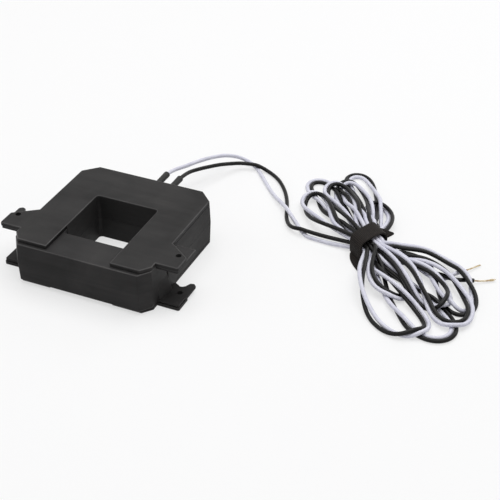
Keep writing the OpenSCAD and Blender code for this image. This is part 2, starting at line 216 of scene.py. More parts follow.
def colourFrom(made, source, stops):
    made.node_tree.links.new(ramp(made, source, stops), shaderOf(made).inputs["Base Color"])


# a noise keeps mostly to the middle of its range, so that part is what spreads over low to high
def roughFrom(made, source, low, high):
    node = made.node_tree.nodes.new("ShaderNodeMapRange")
    for socket, value in (("From Min", 0.3), ("From Max", 0.7), ("To Min", low), ("To Max", high)):
        node.inputs[socket].default_value = value
    made.node_tree.links.new(source, node.inputs["Value"])
    made.node_tree.links.new(node.outputs["Result"], shaderOf(made).inputs["Roughness"])


def raised(made, source, depth, under=None):
    node = made.node_tree.nodes.new("ShaderNodeBump")
    node.inputs["Strength"].default_value = 1
    node.inputs["Distance"].default_value = depth
    made.node_tree.links.new(source, node.inputs["Height"])
    if under:
        made.node_tree.links.new(under, node.inputs["Normal"])
    made.node_tree.links.new(node.outputs["Normal"], shaderOf(made).inputs["Normal"])
    return node.outputs["Normal"]


def dress(piece, *finishes):
    piece.data.materials.clear()
    for made in finishes:
        piece.data.materials.append(made)


# moulded black plastic: cloudy colour, fine mould texture, faint sink waves and rubbed streaks
def mouldedPlastic(name, dark, light, rub, roughness, gloss):
    made = newFinish(name, light, roughness, gloss)
    here = spots(made, "Object")
    tone = cloud(made, here, 38, 4, 0.6)
    streak = cloud(made, mapped(made, here, (30, 160, 420), (0.1, 0.05, 0.6)), 1.0, 3, 0.4)
    mixed = blend(made, tone, streak, 0.7)
    colourFrom(made, mixed, [(0.36, dark), (0.5, light), (0.68, rub)])
    roughFrom(made, mixed, roughness + 0.06, roughness - 0.06)
    waves = raised(made, cloud(made, here, 55, 1), 0.00012)
    raised(made, cloud(made, here, 2600, 3), 0.000012, waves)
    return made


casePlastic = mouldedPlastic(
    "case plastic", dark=(0.0175, 0.0168, 0.0168), light=(0.0225, 0.0216, 0.0216), rub=(0.029, 0.0276, 0.0272),
    roughness=0.58, gloss=0.13)
legPlastic = mouldedPlastic(
    "leg plastic", dark=(0.0185, 0.0178, 0.0178), light=(0.024, 0.0231, 0.0233), rub=(0.0315, 0.0301, 0.0297),
    roughness=0.58, gloss=0.13)
# lighter finish of the eased outer edges: a painted highlight along them
edgeHighlight = mouldedPlastic(
    "painted edge highlight", dark=(0.021, 0.02, 0.02), light=(0.037, 0.0355, 0.0355), rub=(0.064, 0.061, 0.06),
    roughness=0.42, gloss=0.3)


# lead insulation: smooth extruded jacket with faint smudges and fine scuffs
def jacket(name, clean, smudged, roughness, gloss):
    made = newFinish(name, clean, roughness, gloss)
    here = spots(made, "Object")
    tone = cloud(made, here, 70, 4, 1.2)
    colourFrom(made, tone, [(0.38, smudged), (0.6, clean)])
    roughFrom(made, tone, roughness + 0.1, roughness - 0.04)
    raised(made, cloud(made, here, 1500, 3), 0.00001)
    return made


whiteJacket = jacket(
    "white insulation", clean=(0.7, 0.7, 0.79), smudged=(0.61, 0.61, 0.71), roughness=0.38, gloss=0.5)
blackJacket = jacket(
    "black insulation", clean=(0.0045, 0.0042, 0.0042), smudged=(0.009, 0.0085, 0.0082), roughness=0.28, gloss=0.16)
sleeveSkin = jacket(
    "shrink sleeve", clean=(0.0075, 0.007, 0.007), smudged=(0.013, 0.0125, 0.012), roughness=0.45, gloss=0.25)
print("finishes for the mouldings and the leads are ready")


# the two leads: their routes in metres, and the hank's folds

lead = {"radius": 0.0012, "contact": 0.00246, "step": 0.003, "smooth": 0.0015, "floorGap": 0.0001, "lowest": 0.00002}
whiteRoute = [
    (-0.0047, 0.0431, 0.014), (-0.0047, 0.057, 0.014), (-0.0047, 0.0724, 0.014), (-0.0031, 0.079, 0.0137),
    (0.0005, 0.087, 0.013), (0.0045, 0.0985, 0.0115), (0.0095, 0.11, 0.0095), (0.014, 0.1185, 0.007),
    (0.0205, 0.1235, 0.0045), (0.027, 0.124, 0.0025), (0.0325, 0.1215, 0.0013), (0.0395, 0.114, 0.0013),
    (0.045, 0.1075, 0.0013), (0.0505, 0.101, 0.0013), (0.057, 0.094, 0.0018), (0.0655, 0.0855, 0.0033),
    (0.0705, 0.0805, 0.0039), (0.0755, 0.0755, 0.003), (0.0805, 0.071, 0.0016), (0.085, 0.0665, 0.0013),
    (0.0895, 0.0625, 0.0013), (0.0955, 0.0605, 0.0013), (0.102, 0.0596, 0.0015), (0.108, 0.0597, 0.0018),
    (0.1135, 0.0605, 0.0024)]
blackRoute = [
    (0.0047, 0.0431, 0.014), (0.0047, 0.057, 0.014), (0.0047, 0.071, 0.014), (0.005, 0.077, 0.0134),
    (0.0057, 0.0825, 0.0126), (0.0087, 0.09, 0.0114), (0.012, 0.0975, 0.0098), (0.0155, 0.105, 0.008),
    (0.019, 0.1115, 0.006), (0.0235, 0.117, 0.0045), (0.0285, 0.1195, 0.0039), (0.0335, 0.12, 0.0039),
    (0.038, 0.1205, 0.0024), (0.0425, 0.1195, 0.0013), (0.048, 0.116, 0.0013), (0.0535, 0.111, 0.0013),
    (0.06, 0.1025, 0.0013), (0.065, 0.0935, 0.0013), (0.0685, 0.085, 0.0013), (0.0715, 0.077, 0.0013),
    (0.075, 0.0705, 0.0016), (0.0795, 0.0655, 0.0028), (0.0845, 0.0635, 0.0041), (0.0895, 0.0635, 0.0044),
    (0.0955, 0.0632, 0.0042), (0.102, 0.0626, 0.0041), (0.109, 0.0628, 0.0045)]
whiteTail = [(0.176, 0.05, 0.005), (0.1785, 0.055, 0.0042), (0.181, 0.06, 0.0032), (0.1835, 0.0645, 0.0022)]
blackTail = [(0.1805, 0.0495, 0.005), (0.184, 0.0525, 0.004), (0.1875, 0.0555, 0.003), (0.1905, 0.0575, 0.0022)]

hank = {"tie": (0.129, 0.062), "turn": math.radians(-42), "mouth": 0.0075, "floorRow": 0.00275,
        "lean": math.radians(60)}
# for each fold, in mm along and across the hank: its tip, half width and bow; then half turns of twist and layer
farLoops = [(80, -15, 13.5, -7, 4, 4), (88, -3, 13, 0, 3, 1), (48, -5, 10, -5, 1, 2), (66, 8, 10.5, 6, 2, 2.5),
            (82, 9, 12, 12, 3, 3.5), (73, 19, 10.5, 19, 3, 2)]
nearLoops = [(-67, -4, 7.5, -7, 3, 3), (-84, 7, 7.5, 0, 3, 1.5), (-71, 13, 7.2, 0, 3, 4), (-72, 21, 7.2, 4, 3, 3),
             (-80, 33, 7.2, 4, 3, 1.5), (-43, 24, 7.2, 6, 2, 1)]
loopKeys = ("along", "across", "half", "bow", "halfTurns", "layer")
# a fold's outline on one side of its middle: how far out, and the share of its half width there. "straight" counts
# as a share of the way to the tip, and "round" counts back from the tip in half widths
loopShape = {"straight": [(0.28, 0.5), (0.55, 0.88)], "round": [(1, 1.0), (0.3, 0.7)]}
loopRise = {"lowest": 0.0015, "layer": 0.004, "quick": 1.6}
# least bow in mm, and the power which says how early the fold leaves its straight middle
bowPowers = [(15, 0.45), (9, 0.55), (-100, 0.8)]
passes = len(farLoops) + len(nearLoops) + 1


# length of the line up to each of its points
def lengths(line):
    return np.concatenate([[0], np.cumsum(np.linalg.norm(np.diff(line, axis=0), axis=1))])


def evenly(line, step):
    s = lengths(line)
    t = np.linspace(0, s[-1], max(3, round(s[-1] / step) + 1))
    return np.stack([np.interp(t, s, line[:, k]) for k in range(3)], 1)


# smooth curve through the points, which doesn't overshoot between uneven ones, in even steps
def curveThrough(points, step, between=24):
    p = np.array(points, float)
    p = np.vstack([2 * p[0] - p[1], p, 2 * p[-1] - p[-2]])
    t = np.linspace(0, 1, between, endpoint=False)[:, None]
    out = []
    for a, b, c, d in zip(p[:-3], p[1:-2], p[2:-1], p[3:]):
        ab, bc, cd = [max(np.linalg.norm(j - i) ** 0.5, 1e-6) for i, j in ((a, b), (b, c), (c, d))]
        m = ((b - a) / ab - (c - a) / (ab + bc) + (c - b) / bc) * bc
        n = ((c - b) / bc - (d - b) / (bc + cd) + (d - c) / cd) * bc
        out.append((2 * t**3 - 3 * t**2 + 1) * b + (t**3 - 2 * t**2 + t) * m
                   + (3 * t**2 - 2 * t**3) * c + (t**3 - t**2) * n)
    return evenly(np.vstack(out + [p[-2][None]]), step)


# where the pair of pass k lies inside the tie: across, height, and the lean of the pair.
# The leads are stacked like pipes, in two layers of pairs with the last pair at the side
def slotOf(k):
    width = lead["contact"]
    row = width * math.sqrt(0.75)
    if k == passes - 1:
        return 3.25 * width, hank["floorRow"] + 1.5 * row, 2 * hank["lean"]
    return (k // 2 - 2.75) * width, hank["floorRow"] + (0.5 if k % 2 == 0 else 2.5) * row, hank["lean"]


def loopAfter(k):
    return dict(zip(loopKeys, (farLoops if k % 2 == 0 else nearLoops)[k // 2]))


# points of a fold, from the tie out to its tip and back
def loopPoints(start, end, loop, side):
    tip = np.array([loop["along"], loop["across"]]) * 0.001
    half, bow = loop["half"] * 0.001, loop["bow"] * 0.001
    top = loopRise["lowest"] + loopRise["layer"] * loop["layer"]
    a, b = [np.array([side * hank["mouth"], slot[0]]) for slot in (start, end)]
    mid = (a + b) / 2
    reach = np.linalg.norm(tip - mid)
    out = (tip - mid) / reach
    across = np.array([-out[1], out[0]])
    turn = 1 if np.dot(a - b, across) > 0 else -1
    if start[0] == end[0]:
        turn = -1 if loop["bow"] > bowPowers[0][0] else 1
    bowWay = across if across[1] > 0 else -across
    bowPower = next(power for least, power in bowPowers if loop["bow"] > least)
    shape = loopShape["straight"] + [(1 - f * half / reach, w) for f, w in loopShape["round"]]
    points = []
    for f, w in shape + [(1, 0)] + [(f, -w) for f, w in reversed(shape)]:
        flat = mid + (tip - mid) * f + across * turn * half * w + bowWay * bow * math.sin(math.pi * f ** bowPower)
        base = start[1] if w >= 0 else end[1]
        points.append((flat[0], flat[1], base + (top - base) * min(1, loopRise["quick"] * f)))
    return points


# middle line of the pair through all folds, and the numbers of its points in the middle of the tie
def pairLine():
    points, marks = [], []
    for k in range(passes):
        way = 1 if k % 2 == 0 else -1
        v, z = slotOf(k)[:2]
        marks.append(len(points) + 1)
        points += [(-way * hank["mouth"], v, z), (0, v, z), (way * hank["mouth"], v, z)]
        if k < passes - 1:
            points += loopPoints(slotOf(k)[:2], slotOf(k + 1)[:2], loopAfter(k), way)
    return np.array(points), marks


def toHank(points):
    p = np.array(points, float)
    c, s = math.cos(hank["turn"]), math.sin(hank["turn"])
    d = p[:, :2] - np.array(hank["tie"])
    return np.stack([d[:, 0] * c + d[:, 1] * s, -d[:, 0] * s + d[:, 1] * c, p[:, 2]], 1)


def fromHank(p):
    c, s = math.cos(hank["turn"]), math.sin(hank["turn"])
    return np.stack([hank["tie"][0] + p[:, 0] * c - p[:, 1] * s, hank["tie"][1] + p[:, 0] * s + p[:, 1] * c,
                     p[:, 2]], 1)


# "search" and "past" are steps of the line: where a pass of the tie is looked for, and how far one lasts
pairing = {"step": 0.0005, "search": 1500, "past": 60, "fixed": 0.007, "every": 8}


# the two leads of the pair, wound round its middle line and fixed in their lean inside the tie
def twistedPair():
    points, marks = pairLine()
    line = curveThrough(points, pairing["step"])
    s = lengths(line)
    places, last = [], 0
    for m in marks:
        last += int(np.argmin(np.linalg.norm(line[last:last + pairing["search"]] - points[m], axis=1)))
        places.append(s[last])
        last += pairing["past"]
    phases = []
    for k in range(passes):
        lean = slotOf(k)[2]
        want = -lean if k == 0 else math.pi - lean if k % 2 == 0 else lean
        if k:
            goal = phases[-1] + loopAfter(k - 1)["halfTurns"] * math.pi
            want += math.pi * round((goal - want) / math.pi)
        phases.append(want)
    around = (-pairing["fixed"], pairing["fixed"])
    phase = np.interp(s, [p + d for p in places for d in around], np.repeat(phases, 2))
    way = np.gradient(line, axis=0)
    way /= np.linalg.norm(way, axis=1)[:, None]
    side = np.cross(way, (0, 0, 1))
    side /= np.linalg.norm(side, axis=1)[:, None]
    up = np.cross(side, way)
    off = lead["contact"] / 2 * (np.cos(phase)[:, None] * side + np.sin(phase)[:, None] * up)
    return line + off, line - off


holding = {"routeFree": 0.022, "tailHeld": 0.7, "tieAlong": 0.0065, "tieAcross": 0.012}


# each lead from the case to its bare end, and which of its points stay where they are
def leadLines():
    out = []
    for coil, route, tail in zip(twistedPair(), (whiteRoute, blackRoute), (whiteTail, blackTail)):
        first, last = [curveThrough(toHank(part), lead["step"]) for part in (route, tail)]
        line = curveThrough(np.vstack([first, coil[2:-2:pairing["every"]], last]), lead["step"])
        s = lengths(line)
        held = s < lengths(first)[-1] - holding["routeFree"]
        held |= s > s[-1] - lengths(last)[-1] * holding["tailHeld"]
        held |= (np.abs(line[:, 0]) < holding["tieAlong"]) & (np.abs(line[:, 1]) < holding["tieAcross"])
        out.append((line, held))
    return out


# nearest points of two sets of straight pieces: their shares and the gap between them
def nearest(p1, q1, p2, q2):
    d1, d2, r = q1 - p1, q2 - p2, p1 - p2
    a, e, f = (d1 * d1).sum(1), (d2 * d2).sum(1), (d2 * r).sum(1)
    b, c = (d1 * d2).sum(1), (d1 * r).sum(1)
    s = np.clip((b * f - c * e) / np.maximum(a * e - b * b, 1e-14), 0, 1)
    t = np.clip((b * s + f) / e, 0, 1)
    s = np.clip((b * t - c) / a, 0, 1)
    return s, t, p1 + s[:, None] * d1 - p2 - t[:, None] * d2


# pairs of pieces close to each other, leaving out those next to each other on one lead
def neighbours(x, a, b, cord, reach, skip, block=400):
    mid = (x[a] + x[b]) / 2
    found = []
    for k in range(0, len(mid), block):
        i, j = np.where(np.linalg.norm(mid[k:k + block, None] - mid[None], axis=2) < reach)
        i = i + k
        keep = (j > i) & ((cord[i] != cord[j]) | (j - i > skip))
        found.append(np.stack([i[keep], j[keep]]))
    return np.concatenate(found, axis=1)


settling = {"rounds": 600, "fall": 0.00006, "anchor": 0.06, "bend": 0.3, "tightest": 0.0075, "straighten": 0.25,
            "hold": 0.05, "holdReach": 0.014, "holdWidth": 0.03, "searchEvery": 15, "searchRoom": 0.0022,
            "repeats": 2, "leastShare": 0.2, "push": 0.9, "crowd": 0.75}
settlingLate = {"from": 0.8, "fall": 0.33, "anchor": 0.2, "bend": 0.5}


# pulls each piece back to its own length
def keepLengths(x, a, b, rest, free):
    for odd in (0, 1):
        half = np.where(a % 2 == odd)[0]
        p, q = a[half], b[half]
        d = x[q] - x[p]
        size = np.linalg.norm(d, axis=1)
        share = (size - rest[half]) / np.maximum(size, 1e-9) / np.maximum(free[p] + free[q], 1)
        x[p] += (free[p] * share)[:, None] * d
        x[q] -= (free[q] * share)[:, None] * d


# moves touching pieces i and j apart, as far as their ends are free
def keepApart(x, a, b, i, j, free):
    s, t, gap = nearest(x[a[i]], x[b[i]], x[a[j]], x[b[j]])
    apart = np.linalg.norm(gap, axis=1)
    hit = apart < lead["contact"]
    if not hit.any():
        return
    nodes = np.stack([a[i[hit]], b[i[hit]], a[j[hit]], b[j[hit]]], 1)
    share = np.stack([1 - s[hit], s[hit], t[hit] - 1, -t[hit]], 1)
    w = free[nodes]
    push = (lead["contact"] - apart[hit]) / np.maximum((w * share ** 2).sum(1), settling["leastShare"])
    push /= np.maximum(apart[hit], 1e-6)
    move = (w * share * push[:, None])[:, :, None] * gap[hit][:, None, :]
    count = np.bincount(nodes.ravel(), minlength=len(x))
    total = [np.bincount(nodes.ravel(), move[:, :, k].ravel(), len(x)) for k in range(3)]
    x += settling["push"] * np.stack(total, 1) / np.maximum(count, 1)[:, None] ** settling["crowd"]


# opens the bends which are tighter than the tightest one wanted
def keepRound(x, inner, chord, free):
    span = x[inner + 1] - x[inner - 1]
    wide = np.linalg.norm(span, axis=1)
    spread = (np.maximum(chord - wide, 0) / np.maximum(wide, 1e-9) * settling["straighten"])[:, None] * span
    np.add.at(x, inner + 1, spread * free[inner + 1, None])
    np.add.at(x, inner - 1, -spread * free[inner - 1, None])


# lays the leads on the floor and on each other, at their own length and thickness
def settle(leads):
    counts = [len(line) for line, held in leads]
    x = np.vstack([line for line, held in leads])
    home = x.copy()
    free = np.where(np.concatenate([held for line, held in leads]), 0.0, 1.0)
    starts = np.cumsum([0] + counts)
    a = np.concatenate([np.arange(i, j - 1) for i, j in zip(starts, starts[1:])])
    b = a + 1
    cord = np.repeat([0, 1], [n - 1 for n in counts])
    rest = np.linalg.norm(x[b] - x[a], axis=1)
    inner = np.setdiff1d(np.arange(len(x)), np.concatenate([starts[:-1], starts[1:] - 1]))
    step = rest.mean()
    skip = math.ceil(lead["contact"] * math.pi / 2 / step) + 1
    chord = 2 * step * math.cos(step / settling["tightest"] / 2)
    beyond = np.maximum(np.abs(x[:, 0]) - hank["mouth"], 0) / settling["holdReach"]
    hold = settling["hold"] * free * np.exp(-beyond) * (np.abs(x[:, 1]) < settling["holdWidth"])
    for n in range(settling["rounds"]):
        late = n > settling["rounds"] * settlingLate["from"]
        if n % settling["searchEvery"] == 0:
            i, j = neighbours(x, a, b, cord, lead["contact"] + step + settling["searchRoom"], skip)
            keep = free[a[i]] + free[b[i]] + free[a[j]] + free[b[j]] > 0
            i, j = i[keep], j[keep]
        x[:, 2] -= settling["fall"] * (settlingLate["fall"] if late else 1) * free
        x[:, :2] += settling["anchor"] * (settlingLate["anchor"] if late else 1) * free[:, None] * (home - x)[:, :2]
        x[:, 2] += hold * (home - x)[:, 2]
        bend = settlingLate["bend"] if late else settling["bend"]
        x[inner] += bend * free[inner, None] * ((x[inner - 1] + x[inner + 1]) / 2 - x[inner])
        keepRound(x, inner, chord, free)
        for k in range(settling["repeats"]):
            keepLengths(x, a, b, rest, free)
            keepApart(x, a, b, i, j, free)
            x[:, 2] = np.where(free > 0, np.maximum(x[:, 2], lead["radius"] + lead["floorGap"]), x[:, 2])
    return [x[i:j] for i, j in zip(starts, starts[1:])]


# tube along each of the lines, in one piece
def newTubes(name, tubes, radius, resolution):
    curve = bpy.data.curves.new(name, "CURVE")
    curve.dimensions = "3D"
    curve.bevel_depth = radius
    curve.bevel_resolution = resolution
    curve.use_fill_caps = True
    for line in tubes:
        spline = curve.splines.new("POLY")
        spline.points.add(len(line) - 1)
        spline.points.foreach_set("co", np.hstack([line, np.ones((len(line), 1))]).ravel())
        spline.use_smooth = True
    piece = bpy.data.objects.new(name, curve)
    bpy.context.scene.collection.objects.link(piece)
    return piece


lines = [fromHank(curveThrough(line, lead["smooth"])) for line in settle(leadLines())]
for name, line, finish in (("white", lines[0], whiteJacket), ("black", lines[1], blackJacket)):
    line[:, 2] = np.maximum(line[:, 2], lead["radius"] + lead["lowest"])
    cord = newTubes("lead_" + name + "_run", [line], lead["radius"], 4)
    dress(cord, finish)
    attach(cord, "housing")
    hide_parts("lead_" + name, "tail_" + name)
    if name == "black":
        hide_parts("lead_hank")
    print(name, "lead", round(float(lengths(line)[-1]), 3), "m")


# the four mouldings: their outer edges eased, and a fine line left at the joints

shell = {"edge": 0.00048, "steps": 3, "sharp": 30, "smooth": 40, "holes": ((-0.0494, -0.0204), (0.0494, -0.0204)),
         "holeRoom": 0.0022, "middle": 0.014, "jointReach": 0.046, "near": 0.00002, "weld": 0.000003, "flat": 1}
mouldings = [
    {"node": "housing_top", "name": "case_top", "body": "housing", "slot": "case_plastic",
     "face": 0.028, "joint": 0.00018},
    {"node": "housing_bottom", "name": "case_bottom", "body": "housing", "slot": "case_plastic",
     "face": 0.0, "joint": 0.00018},
    {"node": "leg_top", "name": "leg_cover_top", "body": "leg", "slot": "leg_plastic",
     "face": 0.0257, "joint": 0.00004},
    {"node": "leg_bottom", "name": "leg_cover_bottom", "body": "leg", "slot": "leg_plastic",
     "face": 0.0023, "joint": 0.00004},
]


def selectOnly(piece):
    bpy.ops.object.select_all(action="DESELECT")
    bpy.context.view_layer.objects.active = piece
    piece.select_set(True)


def applyModifier(piece, kind, **settings):
    bpy.ops.object.modifier_add(type=kind)
    for name, value in settings.items():
        setattr(piece.modifiers[-1], name, value)
    bpy.ops.object.modifier_apply(modifier=piece.modifiers[-1].name)


def shadeSmooth(piece, degrees):
    selectOnly(piece)
    bpy.ops.object.shade_smooth_by_angle(angle=math.radians(degrees))


# rounds the sharp convex edges which are wanted, with the second finish, a lighter colour as a painted highlight, on
# them if they are highlighted
def easeEdges(piece, width, wanted, highlighted=False):
    selectOnly(piece)
    bpy.ops.object.mode_set(mode="EDIT")
    bpy.ops.mesh.select_mode(type="EDGE")
    bpy.ops.mesh.select_all(action="DESELECT")
    mesh = bmesh.from_edit_mesh(piece.data)
    picked = 0
    for edge in mesh.edges:
        if len(edge.link_faces) == 2 and edge.is_convex and edge.calc_face_angle() > math.radians(shell["sharp"]):
            if wanted(*[v.co for v in edge.verts]):
                edge.select_set(True)
                picked += 1
    bmesh.update_edit_mesh(piece.data)
    if picked:
        bpy.ops.mesh.bevel(offset=width, segments=shell["steps"], affect="EDGES", clamp_overlap=False,
                           miter_outer="SHARP")
        if highlighted:
            piece.active_material_index = 1
            bpy.ops.object.material_slot_assign()
    bpy.ops.object.mode_set(mode="OBJECT")
    return picked


def bothNear(a, b, axis, place):
    return max(abs(a[axis] - place), abs(b[axis] - place)) < shell["near"]


def nearHole(spot):
    return any(math.hypot(spot.x - x, spot.y - y) < shell["holeRoom"] for x, y in shell["holes"])


def addMoulding(part, finish):
    piece = bpy.data.objects.new(part["name"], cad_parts[part["node"]].data.copy())
    bpy.context.scene.collection.objects.link(piece)
    selectOnly(piece)
    bpy.ops.object.mode_set(mode="EDIT")
    bpy.ops.mesh.select_all(action="SELECT")
    bpy.ops.mesh.remove_doubles(threshold=shell["weld"])
    bpy.ops.mesh.dissolve_limited(angle_limit=math.radians(shell["flat"]))
    bpy.ops.object.mode_set(mode="OBJECT")
    # the second finish paints a highlight on the eased outer edges
    dress(piece, finish, edgeHighlight)
    outer = easeEdges(piece, shell["edge"], lambda a, b: bothNear(a, b, 2, part["face"]) and not nearHole(a), True)
    joint = easeEdges(piece, part["joint"], lambda a, b: bothNear(a, b, 2, shell["middle"])
                      and max(abs(a.x), abs(b.x)) < shell["jointReach"])
    shadeSmooth(piece, shell["smooth"])
    applyModifier(piece, "WEIGHTED_NORMAL", keep_sharp=True)
    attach(piece, part["body"])
    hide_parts(part["node"])
    print(part["name"], "has", outer, "outer edges and", joint, "joint edges eased")


for part in mouldings:
    addMoulding(part, casePlastic if part["body"] == "housing" else legPlastic)


# hook-and-loop strap round the hank: its band, its pointed end on the floor and the flap at the far side

strap = {"thick": 0.0011, "edge": 0.0003, "lowest": 0.00005, "smooth": 50, "weld": 0.00002}
# pairs of edge points in mm, along, across and up: one edge of the strap, then the other
bandEdges = [
    ((-9, -3, 0.7), (5.2, -3, 0.7)), ((-7, -8.6, 0.8), (7.4, -8.6, 0.8)), ((-5.4, -9.8, 1.8), (7.9, -9.7, 1.8)),
    ((-5.2, -10.1, 5), (7.0, -9.9, 5)), ((-5.4, -10.2, 8.6), (5.9, -9.4, 8.2)), ((-5.9, -9.6, 11), (4.5, -7.9, 10.8)),
    ((-6.6, -7.6, 12.1), (3.8, -5.6, 11.9)), ((-8.2, -3, 12.6), (2.6, -1.6, 12.3)),
    ((-10.3, 2.5, 12.6), (1.2, 3, 12.4)), ((-11.9, 6.6, 12.2), (0.2, 7, 12)), ((-12.4, 9, 10.8), (0, 9.3, 10.7)),
    ((-12.4, 10.1, 8.4), (-0.1, 10.3, 8.4)), ((-12.2, 10.3, 4.6), (-0.3, 10.4, 4.6)),
    ((-11.9, 9.7, 1.6), (-0.3, 9.8, 1.6)), ((-11.4, 8.4, 0.8), (0.3, 8.4, 0.8)), ((-10.4, 3, 0.7), (2.6, 3, 0.7))]
tongueEdges = [
    ((-4.4, -8.8, 1.75), (7.6, -8.8, 1.75)), ((-3.6, -10.9, 1.2), (8.2, -10.6, 1.2)),
    ((-0.2, -13, 0.75), (10.6, -11.8, 0.75)), ((5.4, -14.5, 0.7), (13.6, -12.9, 0.7)),
    ((12.2, -15.1, 0.7), (17, -14, 0.7)), ((19, -15, 0.7), (19.8, -14.8, 0.7))]
flapEdges = [
    ((-8.4, 10.4, 9.4), (-1.6, 10.5, 6.6)), ((-7.4, 11.9, 9.2), (-1.6, 12, 6.9)), ((-5.6, 14.2, 8.4), (-2, 14.2, 7)),
    ((-3.4, 16.6, 7.6), (-2.6, 16.6, 7.2))]
straps = [{"name": "strap_band", "edges": bandEdges, "closed": True},
          {"name": "strap_tongue", "edges": tongueEdges, "closed": False},
          {"name": "strap_flap", "edges": flapEdges, "closed": False}]


# cloth between two edge curves, in rows from one to the other, with its real size in its UVs
def ribbon(part, finish, across=12, between=5):
    pairs = np.array(part["edges"]) * 0.001
    borders = [np.vstack([pairs[:, k]] + ([pairs[:1, k]] if part["closed"] else [])) for k in (0, 1)]
    borders = [curveThrough(border, 0.0004) for border in borders]
    rows = len(part["edges"]) * between
    share = np.linspace(0, 1, rows + 1)
    sides = [np.stack([np.interp(share, lengths(border) / lengths(border)[-1], border[:, k]) for k in range(3)], 1)
             for border in borders]
    bpy.ops.object.select_all(action="DESELECT")
    bpy.ops.mesh.primitive_grid_add(x_subdivisions=across, y_subdivisions=rows, size=1)
    piece = bpy.context.object
    piece.name = part["name"]
    w = np.linspace(0, 1, across + 1)[None, :, None]
    places = fromHank((sides[0][:, None] * (1 - w) + sides[1][:, None] * w).reshape(-1, 3))
    places[:, 2] = np.maximum(places[:, 2], strap["thick"] / 2 + strap["lowest"])
    piece.data.vertices.foreach_set("co", places.ravel())
    width = float(np.linalg.norm(pairs[:, 0] - pairs[:, 1], axis=1).mean())
    run = float(lengths(sides[0] / 2 + sides[1] / 2)[-1])
    sheet = piece.data.uv_layers.active.data
    uv = np.zeros(len(sheet) * 2)
    sheet.foreach_get("uv", uv)
    sheet.foreach_set("uv", (uv.reshape(-1, 2) * (width, run)).ravel())
    bpy.ops.object.mode_set(mode="EDIT")
    bpy.ops.mesh.select_all(action="SELECT")
    bpy.ops.mesh.remove_doubles(threshold=strap["weld"])
    bpy.ops.mesh.normals_make_consistent(inside=False)
    bpy.ops.object.mode_set(mode="OBJECT")
    applyModifier(piece, "SOLIDIFY", thickness=strap["thick"], offset=0)
    easeEdges(piece, strap["edge"], lambda a, b: True)
    shadeSmooth(piece, strap["smooth"])
    dress(piece, finish)
    return piece


# woven tape: fine ribs across it, a slanting twill over them and a soft nap
def wovenTape():
    made = newFinish("strap weave", (0.012, 0.01, 0.009), 0.85, 0.15)
    flat = spots(made, "UV")
    ribs = bands(made, flat, 330, "Y", 0.4)
    twill = bands(made, mapped(made, flat, (1, 1, 1), (0, 0, 0.9)), 420, "X", 0.6)
    nap = cloud(made, spots(made, "Object"), 900, 4)
    thread = blend(made, ribs, twill, 0.55)
    colourFrom(made, blend(made, thread, nap, 0.6),
               [(0.3, (0.003, 0.0026, 0.0025)), (0.5, (0.009, 0.0075, 0.0068)), (0.75, (0.034, 0.026, 0.022))])
    shaderOf(made).inputs["Sheen Weight"].default_value = 0.04
    shaderOf(made).inputs["Sheen Roughness"].default_value = 0.5
    raised(made, nap, 0.00006, raised(made, thread, 0.0002))
    return made


strapWeave = wovenTape()
for part in straps:
    piece = ribbon(part, strapWeave)
    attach(piece, "housing")
    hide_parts("tie_strap")
print("strap is tied round the hank")


# shrink sleeves over the leads, and the bare twisted strands at their ends

# each ring of a sleeve: share of its run, and share of its radius
sleeve = {"radius": 0.0019, "wall": 0.0006, "from": 0.0413, "up": 0.014, "sides": 28, "edge": 0.00012, "smooth": 50,
          "rings": [(0, 0.97), (0.06, 1.0), (0.5, 1.0), (0.82, 1.0), (0.93, 1.03), (0.985, 1.05), (1, 1.03)]}
sleeves = [{"name": "sleeve_white_skin", "node": "sleeve_white", "x": -0.0047, "to": 0.0722},
           {"name": "sleeve_black_skin", "node": "sleeve_black", "x": 0.0047, "to": 0.071}]
strand = {"radius": 0.00015, "spread": 0.0003, "turn": 0.0056, "length": 0.0127, "into": 0.0015, "fall": -0.1,
          "count": 7, "steps": 46, "wave": 4.2, "unwound": 0.35, "shorter": 2}
ends = [{"name": "strands_white", "node": "conductor_white", "tail": whiteTail, "loose": 0.0, "sway": 0.0},
        {"name": "strands_black", "node": "conductor_black", "tail": blackTail, "loose": 0.00035, "sway": -0.0004}]


def addSleeve(part):
    bpy.ops.object.select_all(action="DESELECT")
    bpy.ops.mesh.primitive_circle_add(vertices=sleeve["sides"], radius=sleeve["radius"] * sleeve["rings"][0][1],
                                      location=(part["x"], sleeve["from"], sleeve["up"]),
                                      rotation=(-math.pi / 2, 0, 0))
    piece = bpy.context.object
    piece.name = part["name"]
    bpy.ops.object.transform_apply(location=True, rotation=True, scale=True)
    bpy.ops.object.mode_set(mode="EDIT")
    bpy.ops.mesh.select_mode(type="EDGE")
    bpy.ops.mesh.select_all(action="SELECT")
    run = part["to"] - sleeve["from"]
    for (at, size), (nextAt, nextSize) in zip(sleeve["rings"], sleeve["rings"][1:]):
        centre = (part["x"], sleeve["from"] + nextAt * run, sleeve["up"])
        bpy.ops.mesh.extrude_edges_move(TRANSFORM_OT_translate={"value": (0, (nextAt - at) * run, 0)})
        bpy.ops.transform.resize(value=(nextSize / size, 1, nextSize / size), center_override=centre)
    bpy.ops.mesh.select_all(action="SELECT")
    bpy.ops.mesh.normals_make_consistent(inside=False)
    bpy.ops.object.mode_set(mode="OBJECT")
    applyModifier(piece, "SOLIDIFY", thickness=sleeve["wall"], offset=-1)
    easeEdges(piece, sleeve["edge"], lambda a, b: bothNear(a, b, 1, part["to"]))
    shadeSmooth(piece, sleeve["smooth"])
    dress(piece, sleeveSkin)
    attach(piece, "housing")
    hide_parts(part["node"])


